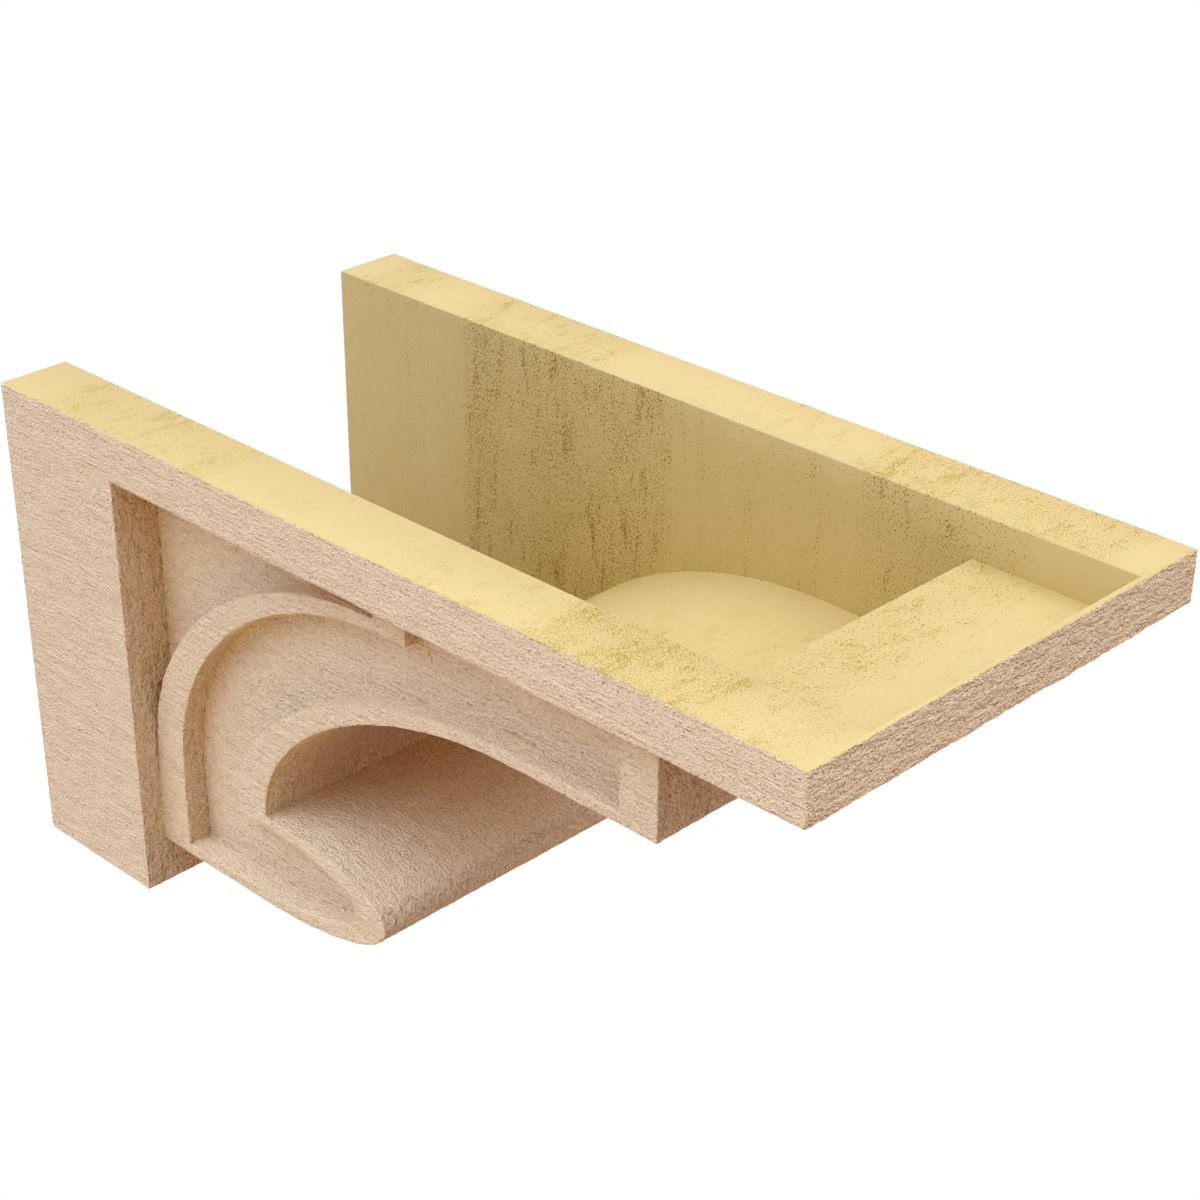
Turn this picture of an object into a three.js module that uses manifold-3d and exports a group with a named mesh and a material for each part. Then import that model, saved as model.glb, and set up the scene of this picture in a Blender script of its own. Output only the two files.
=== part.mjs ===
// A corbel moulded in polyurethane foam to look like a carved, sand-blasted timber bracket.
// It is one hollow casting, open at its top and its back, with the same carving on both sides.
// Millimetres. The wall is the plane x = 0, +X projects from the wall, +Z is up,
// and the casting is symmetric about y = 0.

import * as THREE from 'three';
import { mergeVertices } from 'three/addons/utils/BufferGeometryUtils.js';
import Module from 'manifold-3d';

// Overall size
const projection = 508;
const width = 254;
const height = 254;

// Walls of the casting
const slabThickness = height / 10;
const backplateDepth = projection / 6;
const sideWall = 38.1;
const skin = 3.175;
const footThickness = 12.7;

// Each level of carving steps in from the side by this much
const carvingStep = 12.7;

// A carved band is this wide where it stands upright and this high where it runs level
const bandWidth = projection / 24;
const bandHeight = height / 40;

// Heights, measured from the middle of the bar that closes the back rim at its foot
const topZ = height - footThickness / 2;
const footZ = -footThickness / 2;
const slabBottomZ = topZ - slabThickness;
const blockBottomZ = topZ - 0.3 * height;
const springZ = topZ - 0.7 * height;
const lipMiddleZ = topZ - 0.8 * height;
const archCrownZ = topZ - 0.15 * height;

// Distances from the wall
const blockFrontX = (projection * 5) / 6;
const hollowCrownX = (projection * 2) / 3;
const hollowFootX = projection / 3;
const noseX = projection / 2;
const archCrownX = projection / 2;

// Half length and half height of the lip's round nose
const lipLength = noseX - hollowFootX;
const lipHalfHeight = springZ - lipMiddleZ;

// How far a quarter arch holds its direction at its foot and at its crown, as a share of its legs
const hollowPull = { foot: 0.51, crown: 0.515 };
const outerArchPull = { foot: 0.55, crown: 0.52 };
const innerArchPull = { foot: 0.54, crown: 0.555 };

// Steps along each quarter arch and along the nose
const archSteps = 24;
const noseSteps = 28;

// Solids that are joined or cut run past each other by this much
const overlap = 10;

// Points of an outline that are closer than this are one point
const samePoint = 0.01;

const point = (x, z) => new THREE.Vector2(x, z);

// A quarter arch that leaves its crown level and meets its foot upright
function quarterArch(crown, foot, pull) {
  const crownHandle = point(crown.x + pull.crown * (foot.x - crown.x), crown.y);
  const footHandle = point(foot.x, foot.y + pull.foot * (crown.y - foot.y));
  return new THREE.CubicBezierCurve(crown, crownHandle, footHandle, foot);
}

// Points along a curve, moved square to it by an inset, to the right of the way it runs
function along(curve, inset = 0) {
  return Array.from({ length: archSteps + 1 }, (_, step) => {
    const here = curve.getPoint(step / archSteps);
    const way = curve.getTangent(step / archSteps);
    return point(here.x + inset * way.y, here.y - inset * way.x);
  });
}

// The lip's nose, half an ellipse from its upper edge round to its lower edge, in equal turns.
// A margin leaves a band outside a smaller ellipse, and an inset runs parallel to it.
function nose(marginX, marginZ, inset = 0) {
  const length = lipLength - marginX;
  const halfHeight = lipHalfHeight - marginZ;
  return Array.from({ length: noseSteps + 1 }, (_, step) => {
    const facing = Math.PI * (0.5 - step / noseSteps);
    const angle = Math.atan2(halfHeight * Math.sin(facing), length * Math.cos(facing));
    const x = hollowFootX + length * Math.cos(angle) - inset * Math.cos(facing);
    const z = lipMiddleZ + halfHeight * Math.sin(angle) - inset * Math.sin(facing);
    return point(x, z);
  });
}

// The underside from the front block to the lower edge of the lip, a given distance inside it
function underside(inset) {
  const crown = point(hollowCrownX, blockBottomZ);
  const foot = point(hollowFootX, springZ);
  return [
    point(blockFrontX - inset, blockBottomZ + inset),
    ...along(quarterArch(crown, foot, hollowPull), inset),
    point(hollowFootX - inset, springZ - inset),
    ...nose(0, 0, inset),
  ];
}

// The carved body between the two sides, running on into the slab and the backplate
function bodyOutline() {
  const backX = backplateDepth - overlap;
  const upperZ = slabBottomZ + overlap;
  return [
    point(backX, upperZ),
    point(blockFrontX, upperZ),
    ...underside(0),
    point(backX, lipMiddleZ - lipHalfHeight),
  ];
}

// The hollow, which follows the outside at the thickness of the skin
function cavityOutline() {
  const outsideX = -overlap;
  const outsideZ = topZ + overlap;
  const ledgeZ = slabBottomZ + skin;
  const plateX = backplateDepth - skin;
  const floorZ = footZ + footThickness;
  return [
    point(outsideX, outsideZ),
    point(projection - skin, outsideZ),
    point(projection - skin, ledgeZ),
    point(blockFrontX - skin, ledgeZ),
    ...underside(skin),
    point(plateX, lipMiddleZ - lipHalfHeight + skin),
    point(plateX, floorZ),
    point(outsideX, floorZ),
  ];
}

// The pocket between the backplate, the slab and the outer arch
function spandrelOutline() {
  const backX = backplateDepth - overlap;
  const upperZ = slabBottomZ + overlap;
  const crown = point(archCrownX, archCrownZ);
  const foot = point(backplateDepth, springZ);
  return [
    point(backX, upperZ),
    point(archCrownX, upperZ),
    ...along(quarterArch(crown, foot, outerArchPull)),
    point(backX, springZ),
  ];
}

// The pocket inside the outer arch, round the band that edges the hollow and into the lip
function fanOutline() {
  const upperZ = slabBottomZ + overlap;
  const legX = backplateDepth + bandWidth;
  const stubX = archCrownX + bandWidth;
  const archCrown = point(archCrownX + bandWidth / 2, archCrownZ - bandHeight);
  const archFoot = point(legX, springZ);
  const edgeCrown = point(hollowCrownX, blockBottomZ + bandHeight);
  const edgeFoot = point(hollowFootX - bandWidth, springZ);
  return [
    point(stubX, upperZ),
    point(blockFrontX - bandWidth, upperZ),
    point(blockFrontX - bandWidth, blockBottomZ + bandHeight),
    ...along(quarterArch(edgeCrown, edgeFoot, hollowPull)),
    point(hollowFootX - bandWidth, springZ - bandHeight),
    ...nose(bandWidth, bandHeight),
    point(legX, lipMiddleZ - lipHalfHeight + bandHeight),
    ...along(quarterArch(archCrown, archFoot, innerArchPull)).reverse(),
    point(stubX, archCrownZ - bandHeight),
  ];
}

const wasm = await Module();
wasm.setup();

function solidFrom(geometry) {
  geometry.deleteAttribute('normal');
  geometry.deleteAttribute('uv');
  const merged = mergeVertices(geometry);
  const vertProperties = new Float32Array(merged.attributes.position.array);
  const triVerts = new Uint32Array(merged.index.array);
  return new wasm.Manifold(new wasm.Mesh({ numProp: 3, vertProperties, triVerts }));
}

function geometryFrom(solid) {
  const mesh = solid.getMesh();
  const geometry = new THREE.BufferGeometry();
  geometry.setAttribute('position', new THREE.BufferAttribute(mesh.vertProperties, 3));
  geometry.setIndex(new THREE.BufferAttribute(mesh.triVerts, 1));
  geometry.computeVertexNormals();
  return geometry;
}

// An upright outline in x and z, made solid from one y to another
function prism(outline, lowY, highY) {
  const apart = (here, index) => here.distanceTo(outline.at(index - 1)) > samePoint;
  const shape = new THREE.Shape(outline.filter(apart));
  const geometry = new THREE.ExtrudeGeometry(shape, { depth: highY - lowY, bevelEnabled: false });
  geometry.rotateX(Math.PI / 2);
  geometry.translate(0, highY, 0);
  return solidFrom(geometry);
}

function block(lowX, highX, lowZ, highZ) {
  const geometry = new THREE.BoxGeometry(highX - lowX, width, highZ - lowZ);
  geometry.translate((lowX + highX) / 2, 0, (lowZ + highZ) / 2);
  return solidFrom(geometry);
}

function corbelSolid() {
  const sideY = width / 2;
  const bodyY = sideY - carvingStep;
  const pocketY = bodyY - carvingStep;
  const cavityY = sideY - sideWall;
  let body = prism(bodyOutline(), -bodyY, bodyY);
  for (const pocket of [spandrelOutline(), fanOutline()]) {
    body = body.subtract(prism(pocket, pocketY, sideY));
    body = body.subtract(prism(pocket, -sideY, -pocketY));
  }
  const slab = block(0, projection, slabBottomZ, topZ);
  const backplate = block(0, backplateDepth, footZ, topZ);
  return body.add(slab).add(backplate).subtract(prism(cavityOutline(), -cavityY, cavityY));
}

// Tan primer outside; the bare foam inside is paler and yellower
const primedFoam = new THREE.MeshStandardMaterial({ color: 0xd3b596, roughness: 0.85, metalness: 0 });

const corbel = new THREE.Group();
const casting = new THREE.Mesh(geometryFrom(corbelSolid()), primedFoam);
casting.name = 'corbel';
corbel.add(casting);

export default corbel;
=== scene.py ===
import math
from functools import reduce
from operator import add

import bmesh
import bpy
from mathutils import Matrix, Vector


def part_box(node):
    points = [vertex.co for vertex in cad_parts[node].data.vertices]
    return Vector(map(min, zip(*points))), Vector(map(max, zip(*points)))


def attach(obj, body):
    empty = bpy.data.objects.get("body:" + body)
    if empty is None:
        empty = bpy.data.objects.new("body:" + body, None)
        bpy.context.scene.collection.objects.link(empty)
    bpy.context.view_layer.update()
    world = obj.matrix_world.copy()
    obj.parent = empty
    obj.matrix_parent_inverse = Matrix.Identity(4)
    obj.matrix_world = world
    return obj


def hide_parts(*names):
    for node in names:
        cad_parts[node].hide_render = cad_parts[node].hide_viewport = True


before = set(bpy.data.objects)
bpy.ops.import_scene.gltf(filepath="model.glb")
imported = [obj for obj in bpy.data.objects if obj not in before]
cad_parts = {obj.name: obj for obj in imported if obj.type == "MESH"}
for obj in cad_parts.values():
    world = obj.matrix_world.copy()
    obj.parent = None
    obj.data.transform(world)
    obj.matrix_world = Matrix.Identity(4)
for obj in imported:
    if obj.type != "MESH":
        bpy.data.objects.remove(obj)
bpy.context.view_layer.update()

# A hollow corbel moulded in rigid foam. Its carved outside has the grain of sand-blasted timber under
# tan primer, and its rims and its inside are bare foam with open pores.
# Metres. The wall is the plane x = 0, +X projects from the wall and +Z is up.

# The casting's box, and the half width of the hollow between its side walls
low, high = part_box("corbel")
middle = (low + high) / 2
side_wall = 0.0381
hollow_half_width = high.y - side_wall

# Points this close to a cut lie on it, points this close to each other are one, faces this close to
# a plane lie on it, and a grained face this close to the front of the slab belongs to it
on_cut = 0.000001
same_point = 0.00001
on_plane = 0.0002
on_slab_front = 0.001

# A face leans towards an axis when its normal's share of that axis is over this
faces_axis = 0.7

# Faces that turn less than this from each other are one flat face, or are shaded as one round face
flat_turn = math.radians(0.5)
round_turn = math.radians(40)

# Worn edges
eased_edge = 0.0006
eased_steps = 2
sharp_edge = math.radians(30)

# The carved outside is cut this finely along the grain and across it before its relief is raised
cut_along = 0.005
cut_across = 0.0016

# The raised relief: the length of its lumps along x, y and z, and its height
side_lumps = (0.022, 0.006, 0.006)
side_relief = 0.0005
front_lumps = (0.006, 0.016, 0.005)
front_relief = 0.0010
profile_lumps = (0.018, 0.005, 0.018)
profile_relief = 0.0008

# The middle height of hard and of soft lumps, which stays on the face that they are raised from
hard_lumps_middle = 0.3
soft_lumps_middle = 0.5

# The finest grain, in the primer: the sizes of its specks, strands, pits and folds, and its depth
speck_size = 0.0012
strand_width = 0.0014
pit_size = 0.0016
fold_width = 0.0045
grain_depth = 0.0028

# Strands are drawn out along an axis by a small number for it. They run forwards on the sides, round
# the profile underneath, down the front faces and across the slab's front.
side_run = (0.1, 1.0, 1.0)
profile_run = (0.2, 1.0, 0.2)
front_run = (1.0, 0.8, 0.4)
slab_front_run = (1.0, 0.4, 1.0)

# What each layer of grain adds to the height, and the crumple that front faces have more of
speck_height = 0.6
strand_height = 0.4
fold_height = 0.3
pit_height = 0.3
front_grain = 0.3
front_crumple = 2.0
slab_front_crumple = 1.0

# Tan primer, with shade painted into the crevices of its grain as a darker tone, and browner in the pits
pale_primer = (0.90, 0.718, 0.555, 1.0)
crevice_shaded_primer = (0.76, 0.582, 0.428, 1.0)
crevice_shade_range = (0.37, 0.56)
pit_brown = (0.42, 0.29, 0.19, 1.0)
pits_from = (0.70, 0.77)
pit_tint = 0.45
primer_roughness = 0.55

# Where the foam's pores lie open, as runs along x with the share that is open, and how they fade out
run_fade = 0.010
wall_runs = [(0.0, 0.095, 0.3), (0.095, 0.24, 1.0), (0.24, 0.36, 0.4), (0.36, 0.45, 0.8)]
near_rim_runs = [(0.03, 0.16, 0.6), (0.27, 0.36, 0.4), (0.36, 0.45, 1.2), (0.45, 0.5, 0.7)]
far_rim_runs = [(0.015, 0.05, 0.8), (0.09, 0.19, 0.75), (0.27, 0.34, 0.4), (0.345, 0.49, 0.9)]
ledge_runs = [(0.18, 0.42, 0.35), (0.42, 0.46, 0.75), (0.46, 0.505, 0.25)]

# A point of a face this close to the slab's front or to the top rim is on it
on_face = 0.002

# The pores' own pattern: streaks that run down the walls and across the rims, clouds, and single pores
streak_width = 0.006
streak_run = (1.0, 0.4, 0.16)
cloud_size = 0.03
cloud_run = (1.0, 0.6, 0.5)
pore_size = 0.0008
pore_run = (1.0, 1.0, 0.75)
cell_size = 0.0022
mottle_size = 0.02
mottle_run = (1.0, 0.4, 0.3)

# How the pattern opens the pores: a few everywhere, more in a run, and more again in a streak.
# Clouds and smears are mixed from this share of streaks and the rest of the cloud pattern.
pores_everywhere = 0.15
pores_in_run = 0.75
pores_in_cloud = 0.30
pores_in_streak = 0.45
cloudy = (0.36, 0.64)
cloud_streaks = 0.5
streaky = (0.50, 0.70)
smear_streaks = 0.7
smeared = (0.52, 0.66)
closed_above = 0.71
opened_by = 0.15
pore_edge = 0.10

# Pale yellow foam, its worn tone among the pores, and the pores' own brown, which on the walls is painted
# darker as shade
deep_foam = (0.592, 0.436, 0.217, 1.0)
pale_foam = (0.626, 0.47, 0.246, 1.0)
worn_foam = (0.56, 0.418, 0.178, 1.0)
shaded_wall_pore = (0.27, 0.14, 0.05, 1.0)
level_pore = (0.36, 0.24, 0.05, 1.0)
pore_tint = 0.85
worn_tint = 0.2
smear_tint = 0.4
cell_height = 0.12
pore_depth = 0.0005
pore_bump = 0.5
foam_roughness = 0.6

# Both finishes are matt
matt_sheen = 0.25

# Where the photograph was taken from: a quarter view from above, aimed at the middle of the box
view_turn = math.radians(45)
view_rise = math.radians(30)
view_distance = 1.2137
view_lens = 76.38
view_shift = (0.03425, 0.08625)
film_width = 36.0

# The studio's light: a faint glow all round, two softboxes above, the warm glow of a floor below and a
# weak one in front, each given by the direction it shines from and its colour. The backdrop is white.
glow_all_round = (0.26, 0.21, 0.27)
softboxes = [
    ((0.43, 0.29, 0.85), (3.45, 3.70, 3.42)),
    ((-0.30, -0.59, 0.75), (2.62, 3.12, 3.38)),
    ((0.14, -0.63, -0.77), (1.43, 1.15, 0.47)),
    ((1.0, 0.0, 0.0), (0.38, 0.25, 0.12)),
]
softbox_focus = 12.0
white = (1.0, 1.0, 1.0, 1.0)
floor_size = 40.0
floor_drop = 1.2

# The photograph's shadows are this much deeper than an even print's
shadow_depth = 0.061


class Socket:
    """One output of a shader node. Arithmetic on it adds Math nodes to the same shader."""

    def __init__(self, shader, output):
        self.shader = shader
        self.output = output

    def math(self, operation, first, second):
        values = {"Value": first, "Value_001": second}
        return self.shader.node("ShaderNodeMath", {"operation": operation}, values, "Value")

    def __add__(self, other):
        return self.math("ADD", self, other)

    def __sub__(self, other):
        return self.math("SUBTRACT", self, other)

    def __rsub__(self, other):
        return self.math("SUBTRACT", other, self)

    def __mul__(self, other):
        return self.math("MULTIPLY", self, other)

    def __pow__(self, other):
        return self.math("POWER", self, other)

    def __gt__(self, other):
        return self.math("GREATER_THAN", self, other)

    def __abs__(self):
        return self.math("ABSOLUTE", self, 0.0)

    __radd__ = __add__
    __rmul__ = __mul__


class Shader:
    """The node tree of one finish, of the floor or of the light around."""

    def __init__(self, owner):
        owner.use_nodes = True
        self.tree = owner.node_tree
        self.tree.nodes.clear()

    def node(self, kind, settings, values, result=None):
        """Adds a node, sets it up, gives its sockets their values or links, and returns one output."""
        node = self.tree.nodes.new(kind)
        for name, setting in settings.items():
            setattr(node, name, setting)
        inputs = {socket.identifier: socket for socket in node.inputs}
        for name, value in values.items():
            if isinstance(value, Socket):
                self.tree.links.new(value.output, inputs[name])
            else:
                inputs[name].default_value = value
        outputs = {socket.identifier: socket for socket in node.outputs}
        return Socket(self, outputs[result]) if result else None

    def noise(self, place, size, detail=2.0, roughness=0.5):
        """Soft noise whose lumps are about a given size."""
        values = {"Vector": place, "Scale": 1 / size, "Detail": detail, "Roughness": roughness}
        return self.node("ShaderNodeTexNoise", {}, values, "Fac")

    def ramp(self, value, start, end):
        """0 below start, 1 above end, and a smooth rise between them."""
        values = {"Value": value, "From Min": start, "From Max": end}
        return self.node("ShaderNodeMapRange", {"interpolation_type": "SMOOTHSTEP"}, values, "Result")

    def stretched(self, place, stretch):
        values = {"Vector": place, "Vector_001": stretch}
        return self.node("ShaderNodeVectorMath", {"operation": "MULTIPLY"}, values, "Vector")

    def choose(self, mask, without, with_mask):
        values = {"Factor_Float": mask, "A_Vector": without, "B_Vector": with_mask}
        return self.node("ShaderNodeMix", {"data_type": "VECTOR"}, values, "Result_Vector")

    def colour(self, mask, without, with_mask):
        values = {"Factor_Float": mask, "A_Color": without, "B_Color": with_mask}
        return self.node("ShaderNodeMix", {"data_type": "RGBA"}, values, "Result_Color")

    def place(self):
        return self.node("ShaderNodeTexCoord", {}, {}, "Object")

    def facing(self):
        return self.node("ShaderNodeNewGeometry", {}, {}, "True Normal")

    def part(self, vector, axis):
        """The x, y or z of a vector."""
        return self.node("ShaderNodeSeparateXYZ", {}, {"Vector": vector}, axis)

    def matt_surface(self, colour, roughness, height, strength, depth):
        """A matt finish whose grain stands up by a height, as the whole of its material."""
        bump = {"Strength": strength, "Distance": depth, "Height": height}
        surface = {
            "Base Color": colour,
            "Roughness": roughness,
            "Specular IOR Level": matt_sheen,
            "Normal": self.node("ShaderNodeBump", {}, bump, "Normal"),
        }
        body = self.node("ShaderNodeBsdfPrincipled", {}, surface, "BSDF")
        self.node("ShaderNodeOutputMaterial", {}, {"Surface": body})


def primed_foam():
    """Tan primer on sand-blasted grain, with painted shade in its crevices: fine specks, strands that run
    along each face, folds and pits.
    """
    material = bpy.data.materials.new("primed_foam")
    shader = Shader(material)
    place = shader.place()
    facing = shader.facing()
    side = abs(shader.part(facing, "Y")) > faces_axis
    front = shader.part(facing, "X") > faces_axis
    slab_front = front * (shader.part(place, "X") > high.x - on_face)

    run = shader.choose(side, profile_run, side_run)
    run = shader.choose(front, run, front_run)
    run = shader.choose(slab_front, run, slab_front_run)
    strand_place = shader.stretched(place, run)
    strands = shader.noise(strand_place, strand_width, 2.0, 0.6)
    folds = shader.noise(strand_place, fold_width, 3.0, 0.6)
    specks = shader.noise(place, speck_size, 2.0, 0.5)
    pits = shader.ramp(shader.noise(place, pit_size, 1.0, 0.5), *pits_from)

    grain = specks * speck_height + strands * strand_height
    crumple = fold_height + front_crumple * front - slab_front_crumple * slab_front
    height = grain * (1.0 + front_grain * front) + folds * crumple - pits * pit_height
    # Painted shade: the primer is darker where the grain lies low, standing in for shadow in its crevices
    colour = shader.colour(shader.ramp(grain, *crevice_shade_range), crevice_shaded_primer, pale_primer)
    colour = shader.colour(pits * pit_tint, colour, pit_brown)
    shader.matt_surface(colour, primer_roughness, height, 1.0, grain_depth)
    return material


def porous_in(shader, along_x, runs):
    """The share of pores that lie open in runs along x."""
    shares = []
    for start, end, share in runs:
        inside = shader.ramp(along_x, start - run_fade, start + run_fade)
        past = shader.ramp(along_x, end - run_fade, end + run_fade)
        shares.append(share * (inside - past))
    return reduce(add, shares)


def bare_foam():
    """Pale yellow foam, with open pores in runs that go down the walls and across the rims."""
    material = bpy.data.materials.new("bare_foam")
    shader = Shader(material)
    place = shader.place()
    along_x = shader.part(place, "X")
    level = abs(shader.part(shader.facing(), "Z")) > faces_axis
    far = shader.part(place, "Y") > 0.0
    rim = shader.part(place, "Z") > high.z - on_face

    near_rim = porous_in(shader, along_x, near_rim_runs)
    far_rim = porous_in(shader, along_x, far_rim_runs)
    on_rims = near_rim * (1.0 - far) + far_rim * far
    on_level = on_rims * rim + porous_in(shader, along_x, ledge_runs) * (1.0 - rim)
    porous = porous_in(shader, along_x, wall_runs) * (1.0 - level) + on_level * level

    streaks = shader.noise(shader.stretched(place, streak_run), streak_width, 3.0, 0.7)
    clouds = shader.noise(shader.stretched(place, cloud_run), cloud_size, 2.0, 0.5)
    broken = shader.ramp(streaks * cloud_streaks + clouds * (1 - cloud_streaks), *cloudy)
    porous = pores_everywhere + porous * (pores_in_run + pores_in_cloud * broken)
    porous = porous + pores_in_streak * shader.ramp(streaks, *streaky)
    pore = shader.noise(shader.stretched(place, pore_run), pore_size, 2.0, 0.5)
    open_pores = shader.ramp(pore - (closed_above - porous * opened_by), 0.0, pore_edge)

    mottle = shader.noise(shader.stretched(place, mottle_run), mottle_size, 3.0, 0.5)
    colour = shader.colour(mottle, deep_foam, pale_foam)
    smears = shader.ramp(streaks * smear_streaks + clouds * (1 - smear_streaks), *smeared)
    colour = shader.colour(porous * (worn_tint + smear_tint * smears * level), colour, worn_foam)
    # Painted shade: pores on the walls take a darker brown than pores on level faces
    pore_colour = shader.colour(level, shaded_wall_pore, level_pore)
    colour = shader.colour(open_pores * pore_tint, colour, pore_colour)
    cells = shader.noise(place, cell_size, 2.0, 0.5)
    height = cells * cell_height - open_pores
    shader.matt_surface(colour, foam_roughness, height, pore_bump, pore_depth)
    return material


def white_floor():
    material = bpy.data.materials.new("white_floor")
    shader = Shader(material)
    glow = shader.node("ShaderNodeEmission", {}, {"Color": white}, "Emission")
    shader.node("ShaderNodeOutputMaterial", {}, {"Surface": glow})
    return material


def is_primed(face):
    return face.material_index == 0


def is_bare(face):
    return face.material_index == 1


def is_left_bare(face):
    """Faces of the hollow, of the top rim and of the rim against the wall take no primer."""
    corners = [corner.co for corner in face.verts]
    inside = all(abs(corner.y) < hollow_half_width + on_plane for corner in corners)
    on_top = all(corner.z > high.z - on_plane for corner in corners)
    on_wall = all(corner.x < low.x + on_plane for corner in corners)
    return inside or on_top or on_wall


def is_side(face):
    return abs(face.normal.y) > faces_axis


def is_slab_front(face):
    return face.normal.x > faces_axis and face.calc_center_median().x > high.x - on_slab_front


def is_profile(face):
    return not is_side(face) and not is_slab_front(face)


def select_faces(mesh, wanted):
    """Selects only the faces of a mesh in edit mode that a test picks."""
    bpy.ops.mesh.select_mode(type="FACE")
    bpy.ops.mesh.select_all(action="DESELECT")
    drawn = bmesh.from_edit_mesh(mesh)
    for face in drawn.faces:
        face.select_set(wanted(face))
    bmesh.update_edit_mesh(mesh)


def whole_casting():
    """A copy of the frame's solid, with its triangles merged into whole faces."""
    bpy.ops.object.select_all(action="DESELECT")
    casting = bpy.data.objects.new("corbel_casting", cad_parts["corbel"].data.copy())
    bpy.context.collection.objects.link(casting)
    bpy.context.view_layer.objects.active = casting
    casting.select_set(True)
    casting.data.materials.clear()
    casting.data.materials.append(primed_foam())
    casting.data.materials.append(bare_foam())
    bpy.ops.object.mode_set(mode="EDIT")
    bpy.ops.mesh.customdata_custom_splitnormals_clear()
    bpy.ops.mesh.select_all(action="SELECT")
    bpy.ops.mesh.remove_doubles(threshold=same_point)
    bpy.ops.mesh.dissolve_limited(angle_limit=flat_turn)
    select_faces(casting.data, is_left_bare)
    casting.active_material_index = 1
    bpy.ops.object.material_slot_assign()
    return casting


def ease_edges(casting):
    """Rounds the outer edges by a small wear radius."""
    bpy.ops.mesh.select_mode(type="EDGE")
    bpy.ops.mesh.select_all(action="DESELECT")
    drawn = bmesh.from_edit_mesh(casting.data)
    for edge in drawn.edges:
        edge.select_set(edge.is_convex and edge.calc_face_angle() > sharp_edge)
    bmesh.update_edit_mesh(casting.data)
    bpy.ops.mesh.bevel(offset=eased_edge, segments=eased_steps, affect="EDGES", clamp_overlap=True)


def cut_up(axis, spacing):
    """Cuts what shows along planes square to an axis."""
    direction = Vector((0.0, 0.0, 0.0))
    direction[axis] = 1.0
    count = int((high[axis] - low[axis]) / spacing)
    for step in range(1, count + 1):
        point = direction * (low[axis] + (step - 0.5) * (high[axis] - low[axis]) / count)
        bpy.ops.mesh.select_all(action="SELECT")
        bpy.ops.mesh.bisect(plane_co=point, plane_no=direction, threshold=on_cut)


def cut_grain(casting):
    """Cuts the primed faces finely enough to carry the relief, and leaves the bare ones whole."""
    select_faces(casting.data, is_bare)
    bpy.ops.mesh.hide()
    cut_up(0, cut_along)
    cut_up(2, cut_across)
    cut_up(1, cut_across)
    bpy.ops.mesh.reveal(select=False)


def grain_group(casting, name, wanted):
    """A vertex group of the primed faces that a test picks."""
    select_faces(casting.data, lambda face: is_primed(face) and wanted(face))
    casting.vertex_groups.active = casting.vertex_groups.new(name=name)
    bpy.ops.object.vertex_group_assign()


def raise_grain(casting, group, stretch, height, hard):
    """Raises one layer of relief on a group of faces, from lumps of the given length along each axis."""
    bpy.ops.object.empty_add(type="PLAIN_AXES")
    guide = bpy.context.object
    guide.scale = stretch
    lumps = bpy.data.textures.new(group, "CLOUDS")
    lumps.noise_scale = 1.0
    lumps.noise_depth = 2
    lumps.noise_type = "HARD_NOISE" if hard else "SOFT_NOISE"
    bpy.context.view_layer.objects.active = casting
    relief = casting.modifiers.new(group, "DISPLACE")
    relief.texture = lumps
    relief.texture_coords = "OBJECT"
    relief.texture_coords_object = guide
    relief.vertex_group = group
    relief.strength = height
    relief.mid_level = hard_lumps_middle if hard else soft_lumps_middle
    bpy.context.view_layer.update()
    bpy.ops.object.modifier_apply(modifier=relief.name)
    bpy.data.objects.remove(guide)
    bpy.data.textures.remove(lumps)


def shade_casting(casting):
    """Shades round faces as one, with a sharp line where the primer ends."""
    bpy.ops.object.select_all(action="DESELECT")
    casting.select_set(True)
    bpy.ops.object.shade_smooth_by_angle(angle=round_turn)
    bpy.ops.object.mode_set(mode="EDIT")
    select_faces(casting.data, is_bare)
    bpy.ops.mesh.region_to_loop()
    bpy.ops.mesh.mark_sharp()
    bpy.ops.object.mode_set(mode="OBJECT")


def corbel_casting():
    """The whole casting, with its eased edges and its sand-blasted grain."""
    casting = whole_casting()
    ease_edges(casting)
    cut_grain(casting)
    grain_group(casting, "side_grain", is_side)
    grain_group(casting, "front_grain", is_slab_front)
    grain_group(casting, "profile_grain", is_profile)
    bpy.ops.object.mode_set(mode="OBJECT")
    raise_grain(casting, "side_grain", side_lumps, side_relief, hard=False)
    raise_grain(casting, "front_grain", front_lumps, front_relief, hard=True)
    raise_grain(casting, "profile_grain", profile_lumps, profile_relief, hard=True)
    casting.vertex_groups.clear()
    shade_casting(casting)
    return casting


def studio_floor():
    """A plain white floor well below the corbel, which hangs on a wall when it is in use."""
    place = (middle.x, middle.y, low.z - floor_drop)
    bpy.ops.mesh.primitive_plane_add(size=floor_size, location=place)
    floor = bpy.context.object
    floor.name = "studio_floor"
    floor.data.materials.append(white_floor())
    floor.visible_diffuse = False
    floor.visible_glossy = False
    floor.visible_shadow = False
    return floor


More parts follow.
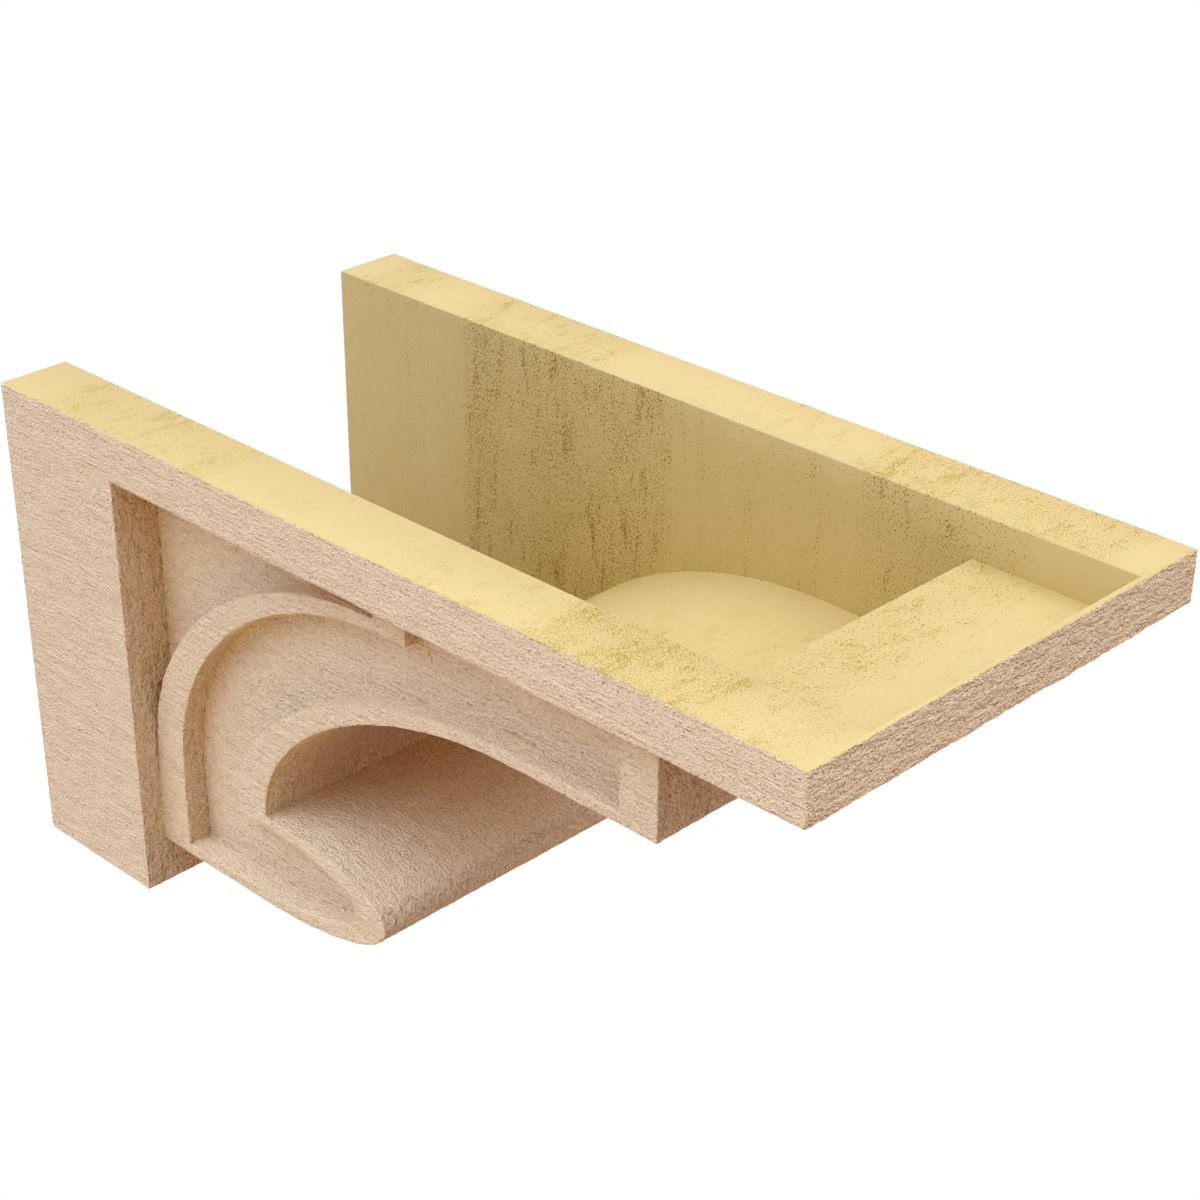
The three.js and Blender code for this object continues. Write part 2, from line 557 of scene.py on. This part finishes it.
def studio_light():
    """Soft light from boxes above and in front and a warm floor below, before a white backdrop."""
    world = bpy.data.worlds.new("studio_light")
    bpy.context.scene.world = world
    shader = Shader(world)
    direction = shader.node("ShaderNodeTexCoord", {}, {}, "Generated")
    light = glow_all_round
    for towards, colour in softboxes:
        sides = {"Vector": direction, "Vector_001": towards}
        along = shader.node("ShaderNodeVectorMath", {"operation": "DOT_PRODUCT"}, sides, "Value")
        tinted = {"Vector": colour, "Scale": (0.5 + 0.5 * along) ** softbox_focus}
        box = shader.node("ShaderNodeVectorMath", {"operation": "SCALE"}, tinted, "Vector")
        sum_of = {"Vector": light, "Vector_001": box}
        light = shader.node("ShaderNodeVectorMath", {"operation": "ADD"}, sum_of, "Vector")
    seen = shader.node("ShaderNodeLightPath", {}, {}, "Is Camera Ray")
    glow = shader.node("ShaderNodeBackground", {}, {"Color": light}, "Background")
    backdrop = shader.node("ShaderNodeBackground", {}, {"Color": white}, "Background")
    both = {"Fac": seen, "Shader": glow, "Shader_001": backdrop}
    around = shader.node("ShaderNodeMixShader", {}, both, "Shader")
    shader.node("ShaderNodeOutputWorld", {}, {"Surface": around})


def photograph_tones():
    """Deepens the shadows below a straight line that keeps white white."""
    view = bpy.context.scene.view_settings
    view.view_transform = "Standard"
    view.use_curve_mapping = True
    tones = view.curve_mapping.curves[3]
    straight = 1 / (1 - shadow_depth)
    for tone in (shadow_depth, 2 * shadow_depth):
        tones.points.new(tone, straight * tone * tone / (4 * shadow_depth))
    for point in list(tones.points)[-2:]:
        point.handle_type = "VECTOR"
    view.curve_mapping.update()


def photograph():
    """The camera, at the photograph's angle and framing."""
    camera = bpy.data.cameras.new("photograph")
    camera.lens = view_lens
    camera.sensor_width = film_width
    camera.shift_x, camera.shift_y = view_shift
    holder = bpy.data.objects.new("photograph", camera)
    bpy.context.collection.objects.link(holder)
    level = math.cos(view_rise)
    back = Vector((math.sin(view_turn) * level, -math.cos(view_turn) * level, math.sin(view_rise)))
    holder.location = middle + back * view_distance
    holder.rotation_euler = (-back).to_track_quat("-Z", "Y").to_euler()
    bpy.context.scene.camera = holder


photograph()
photograph_tones()
studio_light()
studio_floor()
casting = corbel_casting()
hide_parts("corbel")
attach(casting, "root")
